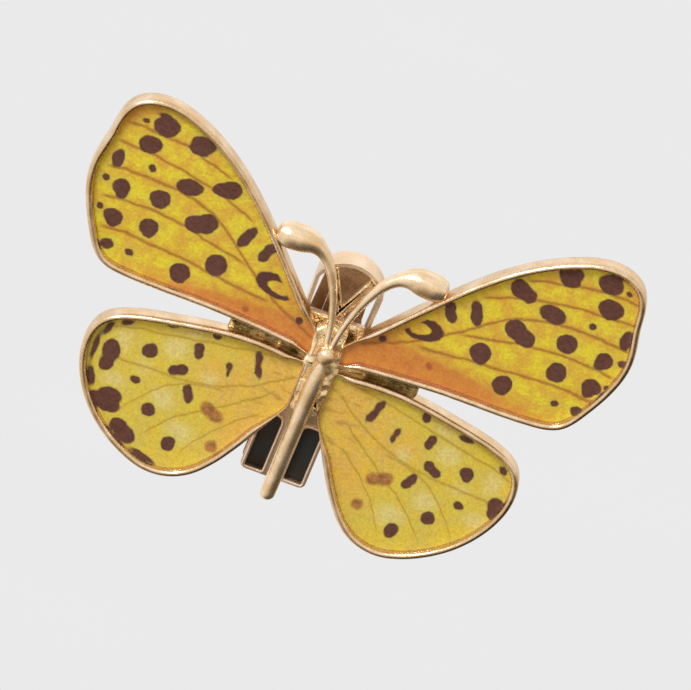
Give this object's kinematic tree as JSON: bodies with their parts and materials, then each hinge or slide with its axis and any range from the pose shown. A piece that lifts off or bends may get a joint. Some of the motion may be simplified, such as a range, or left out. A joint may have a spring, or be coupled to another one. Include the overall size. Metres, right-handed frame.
{
  "type": "butterfly clip brooch",
  "caption": "Butterfly brooch: four gold-plated wing trays hold a printed film under clear resin, on a sprung two-lever clip with rubber grip pads.",
  "frame": {"origin": "midway between the clip's jaws, where they hold the cloth", "axes": "+Z from the tail towards the antennae, -Y out of the front that is seen when it is worn, +X to the right as seen from the front"},
  "size_m": [0.0599, 0.0093, 0.0402],
  "materials": {
    "cast_gold": "pale gold plate, polished, faintly uneven casting",
    "printed_film": "printed yellow wing pattern with brown spots",
    "clear_resin": "clear, glossy",
    "clip_metal": "gold-plated pressed steel",
    "grip_rubber": "matt black",
    "spring_wire": "drawn wire"
  },
  "bodies": {
    "brooch": {"thorax": "cast_gold", "head": "cast_gold", "abdomen": "cast_gold", "left_antenna": "cast_gold", "right_antenna": "cast_gold", "left_wing_bridge": "cast_gold", "right_wing_bridge": "cast_gold", "left_forewing_tray": "cast_gold", "left_forewing_film": "printed_film", "left_forewing_resin": "clear_resin", "left_hindwing_tray": "cast_gold", "left_hindwing_film": "printed_film", "left_hindwing_resin": "clear_resin", "right_forewing_tray": "cast_gold", "right_forewing_film": "printed_film", "right_forewing_resin": "clear_resin", "right_hindwing_tray": "cast_gold", "right_hindwing_film": "printed_film", "right_hindwing_resin": "clear_resin", "mounting_pad": "cast_gold", "clip_front_lever": "clip_metal", "front_grip_pad": "grip_rubber", "hinge_pin": "clip_metal", "spring_coil": "spring_wire"},
    "back_lever": {"clip_back_lever": "clip_metal", "back_grip_pad": "grip_rubber", "spring_back_leg": "spring_wire"}
  },
  "joints": [
    {"name": "clip_open", "type": "hinge", "parent": "brooch", "child": "back_lever", "pos_m": [0, -0.0011, 0.013], "axis": [1, 0, 0], "range_deg": [0, 22], "stiffness_Nm_per_rad": 0.05, "springref_deg": -34.38}
  ]
}
